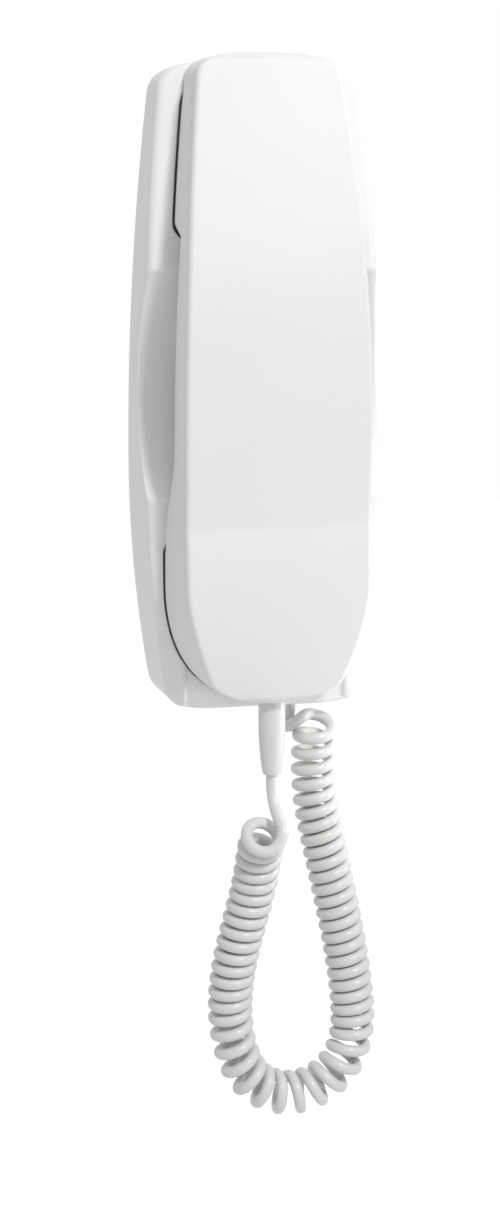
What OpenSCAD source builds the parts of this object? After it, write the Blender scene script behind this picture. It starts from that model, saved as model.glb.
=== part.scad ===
// Audio intercom handset: a wall unit, a handset that rests in it, and the curly cord between them.
// The wall is the plane y = 0, the front faces -y, and the origin lies midway between the wall screws.

/* [Handset] */
// Width of the handset across its grip
handset_w = 61; // [57:0.5:65]
// Height of the handset's top edge above the origin
handset_top = 104.4; // [101:0.2:110]
// Depth of the handset's lower edge below the origin
handset_low = 105.5; // [102:0.5:111]
// Distance from the wall to the front of the handset
handset_front_d = 48; // [45:0.5:54]
// Distance from the wall to the back of the grip
grip_back_d = 27; // [25:0.5:30]
// Wall thickness of the handset's two covers
shell = 2; // [1.6:0.1:2.6]
// Height of the front cover's side, from its seam to its face
lid_h = 4; // [3.2:0.1:6]
// How far the mouth part stands out below the crease
mouth_bulge = 2.4; // [1:0.1:4]
// Radius of the front cover's edge
lid_edge_r = 3.2; // [1.5:0.1:3.8]

/* [Wall unit] */
// Width of the wall unit's rim at each side of the handset
base_margin = 11.2; // [9.5:0.1:14]
// Wall thickness of the wall unit's cover
wall = 2.2; // [1.6:0.1:2.4]
// Distance from the wall to the face beside the ear pocket, at its lower edge
block_depth = 22.2; // [20:0.2:24]
// Distance from the wall to the face beside the mouth pocket
lower_depth = 26.8; // [25:0.2:28.4]
// Distance from the wall to the floor of the finger recess
scoop_floor = 13; // [12.4:0.2:16]
// Distance from the wall to the floor of the ear pocket
ear_floor = 9.6; // [9:0.2:11]
// Distance from the wall to the floor of the mouth pocket
mouth_floor = 17.5; // [16:0.5:19]
// Open gap round the handset in its pockets
pocket_gap = 0.9; // [0.5:0.1:1.4]
// Thickness of the wall plate
plate_t = 2.4; // [1.8:0.1:2.8]

/* [Mounting] */
// Distance between the two wall screws
screw_pitch = 60; // [54:1:66]
// Diameter of a wall-screw hole
screw_hole_d = 4.5; // [3.5:0.1:5.5]
// Width of the window for the wall cable
window_w = 28; // [20:1:32]
// Height of the window for the wall cable
window_h = 22; // [16:1:23]

/* [Controls] */
// Travel of the hook plunger when the handset is lifted
hook_travel = 4; // [2:0.5:5]
// Diameter of the hook plunger
plunger_d = 7; // [5:0.5:8]
// Travel of the door button
button_travel = 1.2; // [0.6:0.1:1.3]
// Diameter of the door button
button_d = 13; // [10:0.5:13.5]

/* [Capsules] */
// Diameter of the receiver capsule
receiver_d = 36; // [30:1:40]
// Thickness of the receiver capsule
receiver_h = 9; // [6:0.5:10]
// Diameter of the microphone capsule
mic_d = 9.7; // [6:0.1:11]

/* [Curly cord] */
// Diameter of the cord
wire_d = 3.7; // [3:0.1:3.8]
// Outer diameter of the curls
coil_d = 15.4; // [14:0.1:16]
// Largest diameter of the sleeve at the handset
sleeve_d = 9; // [7.5:0.1:9.6]
// Length of the sleeve that shows below the handset
sleeve_len = 24.5; // [18:0.5:26]

/* [Hidden] */
$fn = 48;

white = [0.94, 0.94, 0.93];
soft_white = [0.90, 0.90, 0.89];
black = [0.12, 0.12, 0.13];
board_green = [0.10, 0.36, 0.20];
steel = [0.72, 0.73, 0.75];

// Clearance between pieces that slide past each other
slide_gap = 0.4;
// Clearance between pieces of one casing
seam = 0.3;
// Room for a screw in its hole, on the diameter
screw_room = 0.4;
// Dish in the joint face of a cover's solid ends
end_dish = 0.3;

// Heights of the main features, from the handset's two ends
ear_top_z = handset_top - 8.8;
ear_len = 48.8;
ear_low_z = ear_top_z - ear_len;
mouth_low_z = -(handset_low - 3.2);
mouth_len = 50.3;
mouth_top_z = mouth_low_z + mouth_len;
step_z = ear_low_z - 10.3;
scoop_low_z = mouth_top_z + 15;
crease_z = mouth_top_z + 7.5;
base_top = handset_top - 1.9;
base_low = handset_low + 3.3;

// Outline of the wall unit: two long arcs a side, with rounded ends
base_w = handset_w + 2 * base_margin;
widest_z = -28;
side_r_top = 1015;
side_r_low = 439;
top_corner = 10;
low_corner = 9.5;
top_corner_power = 5.5;
low_corner_power = 7;
corner_start = 2.6;
base_draft = 0.066;
base_edge_r = 2.6;
block_rake = 0.12;
lower_rake = 0.02;

// Finger recess: the arc through both of its edges that just reaches its floor
scoop_len = step_z - scoop_low_z;
scoop_up = block_depth - scoop_floor;
scoop_down = lower_depth - scoop_floor;
scoop_a = scoop_down - scoop_up;
scoop_b = 2 * scoop_up * scoop_len;
scoop_c = scoop_up * (scoop_len * scoop_len + scoop_down * scoop_down - scoop_down * scoop_up);
scoop_above = 2 * scoop_c / (scoop_b + sqrt(scoop_b * scoop_b + 4 * scoop_a * scoop_c));
scoop_z = step_z - scoop_above;
scoop_r = (scoop_above * scoop_above + scoop_up * scoop_up) / (2 * scoop_up);

// Outline of the handset
grip_wide_z = -22;
chin_back = 41.5;
chin_front = chin_back - 2.1;
chin_z = chin_back - handset_low;
crest_z = chin_z - 2;
crest_share = 0.675;
chin_corner = 8;
chin_taper = 0.0325;
chin_power = 1.6;
top_zone = 8.4;
front_rake = 0.26;
front_knee_z = 32;
front_knee_r = 20;
front_lean = 1.4;
face_crown = 0.5;
shelf_gap = 1.2;
ear_bend = 5;
ear_back_d = ear_floor + pocket_gap;
mouth_back_d = mouth_floor + pocket_gap;
bump_edge_r = 2.5;
grip_edge_r = 3.5;

function arc_drop(t, r) = r - sqrt(r * r - t * t);
function mix(a, b, t) = a + (b - a) * t;
function limit(t) = min(max(t, 0), 1);
function ease(t) = limit(t) * limit(t) * (3 - 2 * limit(t));
function full_end(t, start, end) = pow(1 - pow(limit(t), start), 1 / end);
function rounded_end(t, n) = full_end(t, n, n);
function reversed(v) = [for (i = [len(v) - 1 : -1 : 0]) v[i]];
function both_sides(half) = concat([for (p = half) [-p[0], p[1]]], reversed(half));
function sorted(v) =
    len(v) < 2 ? v :
    let (p = v[floor(len(v) / 2)])
    concat(sorted([for (x = v) if (x < p) x]), [p], sorted([for (x = v) if (x > p) x]));
function steps(a, b, n) = [for (i = [0 : n]) mix(a, b, i / n)];
function spaced(v) = [for (i = [0 : len(v) - 1]) if (i == 0 || v[i] - v[i - 1] > 0.1) v[i]];

// One closed section of a shell at height z: half of its outside, then half of its inside, as [x, depth]
function section(outside, inside, z) =
    [for (p = concat(both_sides(outside), reversed(both_sides(inside)))) [p[0], -p[1], z]];

// Wall unit
function base_half(z) =
    base_w / 2 - arc_drop(z - widest_z, z > widest_z ? side_r_top : side_r_low);
function base_outline(z, inset) =
    (base_half(z) - inset)
    * full_end((z - base_top + top_corner) / (top_corner - inset), corner_start, top_corner_power)
    * full_end((-z - base_low + low_corner) / (low_corner - inset), corner_start, low_corner_power);
function face_depth(z) =
    z > step_z ? block_depth - (z - step_z) * block_rake :
    z > scoop_low_z ? scoop_floor + arc_drop(z - scoop_z, scoop_r) :
    lower_depth - (scoop_low_z - z) * lower_rake;
function edge_drop(t, r) = t <= 0 ? 0 : arc_drop(min(t, r), r);
function base_face(z) =
    face_depth(z)
    - edge_drop(z - base_top + base_edge_r, base_edge_r) * 0.9
    - edge_drop(-z - base_low + base_edge_r, base_edge_r) * 0.9;
function base_inside(z) =
    z >= ear_low_z - pocket_gap - wall ? ear_floor - wall :
    z <= mouth_top_z + pocket_gap + wall ? mouth_floor - wall :
    face_depth(z) - 1.15 * wall;

// Handset: its raw half width, its flare towards the back, the outline of its rim, q of the way past
// the front cover's chin, and that of its lower side edge
function handset_half(z) = handset_w / 2 - arc_drop(max(z - grip_wide_z, 0), side_r_top);
function flare(z) =
    0.8 + 0.6 * ease((z - ear_low_z) / 6)
    + 2.9 * ease((grip_wide_z + 4 - z) / (grip_wide_z + 4 - mouth_top_z));
function top_end(z, inset) = rounded_end((z - handset_top + top_zone) / (top_zone - inset), 3.2);
function rim_outline(z, q, inset) =
    (handset_half(z) - chin_taper * pow(max(chin_z - z, 0), chin_power) - inset)
    * top_end(z, inset)
    * rounded_end((chin_z - chin_front + chin_corner - z)
        / (chin_corner + 1.3 * q * (chin_back - chin_front) - inset), 2);
function knee_outline(z, inset) =
    (handset_half(z) + flare(z) - inset)
    * top_end(z, inset)
    * rounded_end((chin_z - z) / (chin_back - inset), 2.3);
function soft_rise(t, r) = (sqrt(t * t + r * r) + t) / 2;
function upper_front(z) =
    handset_front_d - front_rake * soft_rise(z - front_knee_z, front_knee_r)
    - front_lean * pow(min(z, 0) / crease_z, 2);
function lower_front(z) =
    upper_front(crease_z) + crest_share * mouth_bulge * (1 - pow((z - crest_z) / (crease_z - crest_z), 2));
function front_depth(z) = z > crease_z ? upper_front(z) : lower_front(z);
function seam_depth(z) = front_depth(z) - lid_h;
function lid_face(z) =
    front_depth(z)
    - edge_drop(z - handset_top + lid_edge_r, lid_edge_r) * 0.9
    - edge_drop(chin_z - chin_front - z + lid_edge_r, lid_edge_r) * 0.9;

// Depth of the handset's lower side edge, which stays clear of the wall unit's face
function side_edge(z) =
    z > ear_low_z + ear_bend ? face_depth(z) + shelf_gap :
    z > 0 ? mix(face_depth(ear_low_z + ear_bend) + shelf_gap, grip_back_d + grip_edge_r + 0.5,
        ease((ear_low_z + ear_bend - z) / 6)) :
    mix(lower_depth + shelf_gap, grip_back_d + grip_edge_r + 0.5,
        ease((z - mouth_top_z - 6) / 18)) - max(scoop_low_z - z, 0) * lower_rake;
function back_edge_r(z) =
    mix(0.3, grip_edge_r, ease((ear_low_z - 2 - z) / 6) * ease((z - mouth_top_z - 9) / 16));
function in_ear(z, grow) = z >= ear_low_z - grow && z <= ear_top_z + grow;
function in_mouth(z, grow) = z >= mouth_low_z - grow && z <= mouth_top_z + grow;
function plain_back(z) = side_edge(z) - 0.5 - back_edge_r(z);
function handset_back_d(z) =
    in_ear(z, 0) ? ear_back_d : in_mouth(z, 0) ? mouth_back_d : plain_back(z);
function handset_inside_d(z) =
    shell + (in_ear(z, -shell) ? ear_back_d : in_mouth(z, -shell) ? mouth_back_d : plain_back(z));

// Half width of the two raised parts that sit in the pockets, grown for the pocket round them
function raised(z, low, high, grow, low_r, high_r) =
    0.985 * knee_outline(z, 0) + grow
    - high_r * (1 - rounded_end((z - high - grow + high_r) / high_r, 2))
    - low_r * (1 - rounded_end((low - grow + low_r - z) / low_r, 2));
function raised_half(z, grow) =
    z > 0 ? raised(z, ear_low_z, ear_top_z, grow, 5, 8) : raised(z, mouth_low_z, mouth_top_z, grow, 3, 4);

// Flat end between the outside of a section, its first `k` points, and its inside
function end_face(n, k) =
    [for (i = [0 : k - 2])
        let (a = n - 1 - floor(i * (n - k) / (k - 1)), b = n - 1 - floor((i + 1) * (n - k) / (k - 1)))
        each concat([[i, i + 1, a]], a == b || b < k ? [] : [[i + 1, b, a]])];

// Closed skin through sections that all have the same number of points, `k` of them on the outside
module loft(rings, k) {
    n = len(rings[0]);
    m = len(rings);
    sides = [for (i = [0 : m - 2], j = [0 : n - 1])
        let (a = i * n + j, b = i * n + (j + 1) % n)
        each [[a, b + n, b], [a, a + n, b + n]]];
    low = end_face(n, k);
    high = [for (t = end_face(n, k)) [for (i = reversed(t)) (m - 1) * n + i]];
    polyhedron([for (r = rings) each r], concat(sides, low, high));
}

// Round bar square to the wall, between two depths
module rod(x, z, from_d, to_d, d) {
    translate([x, -from_d, z]) rotate([90, 0, 0]) cylinder(h = to_d - from_d, d = d);
}

// Block with its sides square to the axes, centred on x and z
module slab(x, z, w, h, from_d, to_d) {
    translate([x - w / 2, -to_d, z - h / 2]) cube([w, to_d - from_d, h]);
}

// Pan-head screw that is driven towards the wall, with a cross in its head
module screw(x, z, under_head_d, length, d, head_d, head_h) {
    difference() {
        union() {
            rod(x, z, under_head_d, under_head_d + head_h, head_d);
            rod(x, z, under_head_d - length, under_head_d, d);
        }
        for (turn = [0, 90])
            translate([x, -under_head_d - head_h, z]) rotate([0, turn, 0])
                cube([head_d * 0.6, head_h, head_d * 0.15], center = true);
    }
}

// Smooth line drawn towards hand-picked points, and one that runs through them
function pulled_at(p, i, t) =
    (pow(1 - t, 3) * p[i] + (3 * t * t * t - 6 * t * t + 4) * p[i + 1]
    + (-3 * t * t * t + 3 * t * t + 3 * t + 1) * p[i + 2] + t * t * t * p[i + 3]) / 6;
function pulled(p, n) =
    let (m = len(p) - 4)
    concat([for (i = [0 : m], k = [0 : n - 1]) pulled_at(p, i, k / n)], [pulled_at(p, m, 1)]);
function through_at(p, i, t) =
    let (n = len(p) - 1, a = p[max(i - 1, 0)], b = p[i], c = p[i + 1], d = p[min(i + 2, n)])
    0.5 * (2 * b + (c - a) * t + (2 * a - 5 * b + 4 * c - d) * t * t + (3 * b - a - 3 * c + d) * t * t * t);
function unit(v) = v / norm(v);
function tangent(p, i) = unit(p[min(i + 1, len(p) - 1)] - p[max(i - 1, 0)]);
function running(v, i = 0, sum = 0) =
    [for (s = sum, k = i; k < len(v); s = s + v[k], k = k + 1) s + v[k]];

// Tube of n sides along a line of points, with square ends; each ring turns with the line
function next_side(side, t) = unit(side - (side * t) * t);
function carried(p, i, side) =
    [for (k = 0, s = next_side(side, tangent(p, 0)); k < len(p);
        k = k + 1, s = next_side(s, tangent(p, min(k, len(p) - 1)))) s];
module tube(p, d, n, side) {
    sides = carried(p, 0, side);
    rings = [for (k = [0 : len(p) - 1])
        let (t = k == 0 ? unit(p[1] - p[0]) : tangent(p, k), u = sides[k], v = cross(t, u))
        [for (j = [0 : n - 1]) p[k] + d / 2 * (cos(360 * j / n) * u + sin(360 * j / n) * v)]];
    m = len(p);
    skin = [for (k = [0 : m - 2], j = [0 : n - 1])
        let (a = k * n + j, b = k * n + (j + 1) % n)
        each [[a, b + n, b], [a, a + n, b + n]]];
    first = [for (j = [1 : n - 2]) [0, j, j + 1]];
    last = [for (j = [1 : n - 2]) [(m - 1) * n, (m - 1) * n + j + 1, (m - 1) * n + j]];
    polyhedron([for (r = rings) each r], concat(skin, first, last));
}

// Least distance between two stretches of a line that lie more than `apart` points from each other
function self_gap(p, apart) =
    min([for (i = [0 : len(p) - apart - 1]) min([for (k = [i + apart : len(p) - 1]) norm(p[i] - p[k])])]);

// Wall plate and what stands on it
board_from = plate_t + 2;
board_t = 1.6;
board_d = board_from + board_t;
board_w = 58;
board_top_z = step_z + 5;
board_low_z = mouth_top_z - 1;
board_screw_x = board_w / 2 - 4;
board_screw_z = [board_low_z + 4, board_top_z - 4];
cover_screw_z = [mouth_low_z + 10, ear_top_z - 9];
cover_screw_seat = board_from + 2.4;
cover_screw_d = 2.9;
cover_head_d = 5.6;

module plate_outline() {
    inset = wall + slide_gap;
    zs = steps(-base_low + inset + 0.4, base_top - inset - 0.4, 48);
    half = [for (z = zs) [base_outline(z, inset), z]];
    polygon(concat(half, reversed([for (p = half) [-p[0], p[1]]])));
}

module wall_plate() {
    color(soft_white)
    difference() {
        union() {
            rotate([90, 0, 0]) linear_extrude(plate_t) plate_outline();
            for (x = [-1, 1], z = board_screw_z) rod(x * board_screw_x, z, plate_t, board_from, 6);
            for (z = cover_screw_z) rod(0, z, plate_t, board_from, 8);
        }
        for (z = [-1, 1]) rod(0, z * screw_pitch / 2, -1, plate_t + 1, screw_hole_d);
        slab(0, 0, window_w, window_h, -1, plate_t + 1);
        for (x = [-1, 1], z = board_screw_z) rod(x * board_screw_x, z, 0.8, board_from + 1, 2);
        for (z = cover_screw_z) rod(0, z, 0.8, board_from + 1, cover_screw_d);
    }
}

// Wall unit's cover
hook_z = (scoop_low_z + mouth_top_z) / 2 + 0.5;
button_drop = 24.7;
button_z = scoop_z - button_drop;
button_flange_d = button_d + 3;
gland_x = 12;
gland_d = 10.5;
gland_neck = 6.6;
hook_boss_d = plunger_d + 3.6;
slot_x = -18;
slot_pitch = 3.4;
slot_w = 1.6;
slot_h = 12;
hook_flange_from = 16;
hook_flange_to = hook_flange_from + 1.5;
hook_boss_end = hook_flange_to + hook_travel + slide_gap;
base_end_fill = wall + 0.6;
notch_top_z = mouth_low_z + 9.3;
notch_w = 2 * raised_half(notch_top_z, pocket_gap) + 0.4;
notch_floor = lower_depth - 4;

function base_outside(z) =
    let (w = base_outline(z, 0), f = base_face(z), r = base_edge_r, x = w - base_draft * (f - r),
        pocket = in_ear(z, pocket_gap) || in_mouth(z, pocket_gap),
        p = min(max(raised_half(z, pocket_gap), 0.3 * (x - r)), x - r - 0.4),
        floor_d = in_ear(z, pocket_gap) ? ear_floor : in_mouth(z, pocket_gap) ? mouth_floor : f)
    [[w, 0], [x, f - r], [x - 0.1 * r, f - 0.56 * r], [x - 0.4 * r, f - 0.2 * r], [x - r, f],
        [p, f], [p - 0.4, floor_d]];
function base_hollow(z) =
    let (w = base_outline(z, wall), d = base_inside(z))
    z < base_end_fill - base_low || z > base_top - base_end_fill
        ? [for (k = [0.9, 0.6, 0.3]) [k * base_outline(z, 0), end_dish]]
        : [[w, 0], [w - base_draft * (d - 1), d - 1], [w - base_draft * d - 1, d]];
base_z = spaced(sorted(concat(
    [for (t = [0.995, 0.97, 0.92, 0.84, 0.72, 0.55, 0.3, 0]) -base_low + low_corner * (1 - t)],
    [for (t = [0.995, 0.97, 0.92, 0.84, 0.72, 0.55, 0.3, 0]) base_top - top_corner * (1 - t)],
    [-base_low + base_end_fill - 0.2, -base_low + base_end_fill],
    [base_top - base_end_fill, base_top - base_end_fill + 0.2],
    [for (z = [mouth_low_z - pocket_gap, ear_low_z - pocket_gap]) each [z - 0.2, z, z + 0.4, z + 1, z + 2.5]],
    [for (z = [mouth_top_z + pocket_gap, ear_top_z + pocket_gap]) each [z + 0.2, z, z - 0.4, z - 1, z - 2.5]],
    [mouth_top_z + pocket_gap + wall, mouth_top_z + pocket_gap + wall + 0.2],
    [ear_low_z - pocket_gap - wall - 0.2, ear_low_z - pocket_gap - wall],
    steps(mouth_low_z + 4, mouth_top_z - 4, 7),
    steps(scoop_low_z, step_z, 14),
    steps(ear_low_z + 4, ear_top_z - 4, 6))));

module scoop_cylinder(r) {
    translate([0, -scoop_floor - scoop_r, scoop_z]) rotate([0, 90, 0])
        cylinder(h = base_w, r = r, center = true, $fn = 96);
}

module base_cover() {
    color(white)
    difference() {
        union() {
            loft([for (z = base_z) section(base_outside(z), base_hollow(z), z)], 2 * len(base_outside(0)));
            rod(0, hook_z, hook_boss_end, lower_depth - 1, hook_boss_d);
            for (i = [0, 1]) rod(0, cover_screw_z[i], board_from, [mouth_floor, ear_floor][i] - 1, 9);
        }
        rod(0, hook_z, hook_boss_end - 1, lower_depth + 1, plunger_d + 2 * slide_gap);
        rod(0, button_z, scoop_floor - wall - 4, lower_depth, button_d + 2 * slide_gap);
        for (i = [0, 1]) {
            rod(0, cover_screw_z[i], board_from - 1, lower_depth, cover_screw_d + screw_room);
            rod(0, cover_screw_z[i], cover_screw_seat, lower_depth, cover_head_d + screw_room);
        }
        translate([gland_x, -gland_d, -base_low - 1]) cylinder(h = wall + 4, d = gland_neck + 0.3);
        for (i = [-2 : 2])
            slab(slot_x + slot_pitch * i, scoop_z + slot_h / 2, slot_w, slot_h,
                scoop_floor - wall - 3, lower_depth);
        slab(0, (notch_top_z - base_low - 1) / 2, notch_w, notch_top_z + base_low + 1,
            notch_floor, lower_depth + 1);
    }
}

module cover_screws() {
    color(steel)
    for (z = cover_screw_z)
        screw(0, z, cover_screw_seat, cover_screw_seat - 1.2, cover_screw_d - 0.1, cover_head_d, 1.8);
}

// Main board and its parts
module main_board() {
    color(board_green)
    difference() {
        slab(0, (board_top_z + board_low_z) / 2, board_w, board_top_z - board_low_z, board_from, board_d);
        slab(0, 0, window_w + 3, window_h + 3, board_from - 1, board_d + 1);
        for (z = [-1, 1]) rod(0, z * screw_pitch / 2, board_from - 1, board_d + 1, 10);
        for (x = [-1, 1], z = board_screw_z) rod(x * board_screw_x, z, board_from - 1, board_d + 1, 2.7);
    }
}

module board_screws() {
    color(steel)
    for (x = [-1, 1], z = board_screw_z)
        screw(x * board_screw_x, z, board_d, board_d - 1.2, 1.9, 4.5, 1.8);
}

terminal_pitch = 5;
terminal_w = 31;
terminal_h = 8;
terminal_z = (window_h + 3 + terminal_h + 3) / 2;
terminal_t = 4.4;
terminal_top = board_d + terminal_t;
terminal_x = [for (i = [-2.5 : 2.5]) terminal_pitch * i];

module terminal_block() {
    color(black)
    difference() {
        slab(0, terminal_z, terminal_w, terminal_h, board_d, terminal_top);
        for (x = terminal_x) {
            rod(x, terminal_z, terminal_top - 3.4, terminal_top + 1, 3.6);
            slab(x, terminal_z - terminal_h / 2, 2.6, 3.4, board_d + 0.8, board_d + 3.4);
        }
    }
}

module terminal_screws() {
    color(steel)
    for (x = terminal_x)
        difference() {
            rod(x, terminal_z, terminal_top - 3.4, terminal_top - 0.6, 3.2);
            slab(x, terminal_z, 4, 0.7, terminal_top - 1.4, terminal_top);
        }
}

sounder_x = -16;
sounder_z = board_low_z + 17;
sounder_d = 19;

module call_sounder() {
    color(black)
    difference() {
        rod(sounder_x, sounder_z, board_d, board_d + 8, sounder_d);
        rod(sounder_x, sounder_z, board_d + 5, board_d + 9, 3);
    }
}

chip_x = 17;
chip_rise = 24;
chip_z = board_low_z + chip_rise;

module line_chip() {
    color(black)
    union() {
        slab(chip_x, chip_z, 6, 10, board_d + 0.3, board_d + 2);
        for (side = [-1, 1], i = [-3.5 : 3.5])
            slab(chip_x + side * 3.4, chip_z + 1.27 * i, 1.6, 0.5, board_d, board_d + 0.7);
    }
}

module board_capacitors() {
    color(black)
    for (x = [13, 21]) rod(x, board_low_z + 11, board_d, board_d + 7.7, 6.3);
}

// Hook switch, its plunger and its spring
hook_switch_top = board_d + 5;
hook_stem_d = 2.8;
hook_tip_d = handset_back_d(hook_z) - seam;

module hook_switch() {
    color(black)
    difference() {
        slab(0, hook_z, 9, 9, board_d, hook_switch_top);
        rod(0, hook_z, board_d + 0.6, hook_switch_top + 1, hook_stem_d + 2 * slide_gap);
    }
}

module hook_plunger() {
    color(white)
    union() {
        rod(0, hook_z, hook_flange_to - 0.5, hook_tip_d, plunger_d);
        rod(0, hook_z, hook_flange_from, hook_flange_to, plunger_d + 1.8);
        rod(0, hook_z, board_d + 1, hook_flange_from + 0.5, hook_stem_d);
    }
}

spring_wire = 0.5;
spring_turns = 3;
spring_r = 2.9;

module hook_spring() {
    first_d = hook_switch_top + spring_wire / 2 + 0.1;
    last_d = hook_flange_from - spring_wire / 2 - 0.1;
    n = 8 * spring_turns;
    line = [for (i = [0 : n])
        [spring_r * cos(45 * i), -mix(first_d, last_d, i / n), hook_z + spring_r * sin(45 * i)]];
    color(steel) tube(line, spring_wire, 6, [1, 0, 0]);
}

// Door button with its switch
door_switch_top = board_d + 3.4;
door_stem_d = 3.2;
button_from = door_switch_top + button_travel + slide_gap;

module door_switch() {
    color(black)
    difference() {
        slab(0, button_z, 6, 6, board_d, door_switch_top);
        rod(0, button_z, door_switch_top - button_travel - 0.8, door_switch_top + 1,
            door_stem_d + 2 * slide_gap);
    }
}

module door_switch_stem() {
    color(soft_white) rod(0, button_z, door_switch_top - 0.3, button_from, door_stem_d);
}

module door_button() {
    color(soft_white)
    difference() {
        union() {
            rod(0, button_z, button_from, button_from + 1.2, button_flange_d);
            rod(0, button_z, button_from, lower_depth, button_d);
        }
        scoop_cylinder(scoop_r - 1.2);
    }
}

// Handset covers
chin_fill = shell + 0.6;
lid_boss_z = [28, -28];
lid_boss_d = 7;
lid_screw_d = 2.6;
lid_screw_len = 10.1;
lid_head_d = 5;
lid_head_in = 0.9;

function lid_outside(z) =
    let (w = rim_outline(z, 0, 0), f = lid_face(z), s = seam_depth(z) + seam,
        r = min(lid_edge_r, f - s - 0.2), k = r * min(1, w / 9))
    [[w, s], [w, f - r], [w - 0.1 * k, f - 0.56 * r], [w - 0.4 * k, f - 0.2 * r], [w - k, f],
        [0.5 * w, f + 0.7 * face_crown]];
function lid_hollow(z) =
    let (w = rim_outline(z, 0, shell), s = seam_depth(z) + seam, d = front_depth(z) - shell)
    z > handset_top - chin_fill || z < chin_z - chin_front + chin_fill
        ? [for (k = [0.9, 0.6, 0.3]) [k * rim_outline(z, 0, 0), s + end_dish]]
        : [[w, s], [w - 0.1, d - 0.6], [w - 0.7, d]];
lid_z = spaced(sorted(concat(
    [for (t = [0.99, 0.95, 0.88, 0.78, 0.65, 0.45, 0.2, 0]) handset_top - top_zone * (1 - t)],
    [for (t = [0.997, 0.975, 0.94, 0.89, 0.78, 0.65, 0.5, 0.35, 0.18, 0]) chin_z - chin_front * t],
    [for (t = [0.995, 0.9, 0.8, 0.6, 0.4, 0]) chin_z - chin_front + chin_corner * (1 - t)],
    [handset_top - chin_fill, handset_top - chin_fill + 0.2],
    [chin_z - chin_front + chin_fill, chin_z - chin_front + chin_fill - 0.2],
    steps(chin_z + 5, crease_z - 6, 3),
    [crease_z - 3, crease_z - 1.2, crease_z, crease_z + 1.2, crease_z + 3],
    steps(crease_z + 8, handset_top - top_zone - 5, 16))));

module handset_front() {
    color(white)
    difference() {
        union() {
            loft([for (z = lid_z) section(lid_outside(z), lid_hollow(z), z)], 2 * len(lid_outside(0)));
            for (z = lid_boss_z) rod(0, z, grip_back_d + shell + seam, front_depth(z) - 1, lid_boss_d);
        }
        for (z = lid_boss_z) rod(0, z, grip_back_d, front_depth(z) - shell - 1, lid_screw_d);
    }
}

// Share of the flare at which the cover's rim starts; past the front cover's chin it follows the outline
function rim_share(z) = z > chin_z - chin_front + 0.5 ? 0 :
    limit((chin_z - chin_front + 0.5 - z) / (chin_back - chin_front + 0.5)) * 0.9;
function back_outside(z) =
    let (q = rim_share(z), k = side_edge(z), raised_here = in_ear(z, 0) || in_mouth(z, 0),
        next_to_raised = in_ear(z, 0.3) || in_mouth(z, 0.3), knee = knee_outline(z, 0),
        w = next_to_raised ? min(0.985 * knee, raised_half(z, 0)) : 0.985 * knee,
        b = handset_back_d(z), r = raised_here ? bump_edge_r : back_edge_r(z), e = r * min(1, w / 12))
    [[rim_outline(z, q, 0), mix(seam_depth(z), k, q)], [knee, k], [w, k - 0.4],
        [0.985 * w, b + r], [0.985 * w - 0.3 * e, b + 0.3 * r], [0.985 * w - e, b]];
function back_hollow(z) =
    let (k = side_edge(z) + shell, d = handset_inside_d(z), s = seam_depth(z),
        raised_here = in_ear(z, -shell) || in_mouth(z, -shell), knee = knee_outline(z, shell),
        w = 0.985 * (raised_here ? min(knee, raised_half(z, -shell)) : knee))
    z > handset_top - chin_fill || z < chin_z - chin_front + chin_fill
        ? [for (t = [0.9, 0.7, 0.5, 0.3]) [t * rim_outline(z, rim_share(z), 0),
            mix(s, side_edge(z), rim_share(z)) - end_dish]]
        : [[rim_outline(z, 0, shell), s], [knee, k], [w, min(k - 0.5, d + 1)], [w - 1, d]];
back_z = spaced(sorted(concat(
    [for (t = [0.99, 0.95, 0.88, 0.78, 0.65, 0.45, 0.2, 0]) handset_top - top_zone * (1 - t)],
    [for (t = [0.99, 0.965, 0.93, 0.88, 0.8, 0.7, 0.58, 0.44, 0.3, 0.15, 0]) chin_z - chin_back * t],
    [for (t = [0.9, 0.6, 0.3, 0]) chin_z - chin_front + chin_corner * (1 - t)],
    [handset_top - chin_fill, handset_top - chin_fill + 0.2],
    [chin_z - chin_front + chin_fill, chin_z - chin_front + chin_fill - 0.2],
    [for (z = [mouth_low_z, ear_low_z]) each [z - 0.2, z, z + 0.4, z + 1, z + shell - 0.2, z + shell, z + 4]],
    [for (z = [mouth_top_z, ear_top_z]) each [z + 0.2, z, z - 0.4, z - 1, z - shell + 0.2, z - shell, z - 4]],
    steps(mouth_top_z + 2, step_z, 16),
    steps(step_z + 1.5, ear_low_z - 1.2, 4),
    steps(ear_low_z + 5, ear_top_z - 8, 6))));

receiver_z = (ear_low_z + ear_top_z) / 2;
mic_rise = 24;
mic_z = mouth_low_z + mic_rise;
hole_ring = [[0, 1], [5, 6], [10, 12]];

module handset_back() {
    color(white)
    difference() {
        loft([for (z = reversed(back_z)) section(back_outside(z), back_hollow(z), z)],
            2 * len(back_outside(0)));
        for (ring = hole_ring, i = [1 : ring[1]])
            rod(ring[0] * cos(360 * i / ring[1]), receiver_z + ring[0] * sin(360 * i / ring[1]),
                ear_back_d - 1, ear_back_d + shell + 1, 2.2);
        for (x = [-5, 0, 5]) rod(x, mic_z, mouth_back_d - 1, mouth_back_d + shell + 1, 1.8);
        for (z = lid_boss_z) {
            rod(0, z, grip_back_d - 2, grip_back_d + shell + 1, lid_screw_d + screw_room);
            rod(0, z, grip_back_d - 2, grip_back_d + lid_head_in, lid_head_d + screw_room);
        }
        translate([0, -sleeve_at_d, -handset_low - 1]) cylinder(h = shell + 6, d = sleeve_d + 0.3);
    }
}

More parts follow.
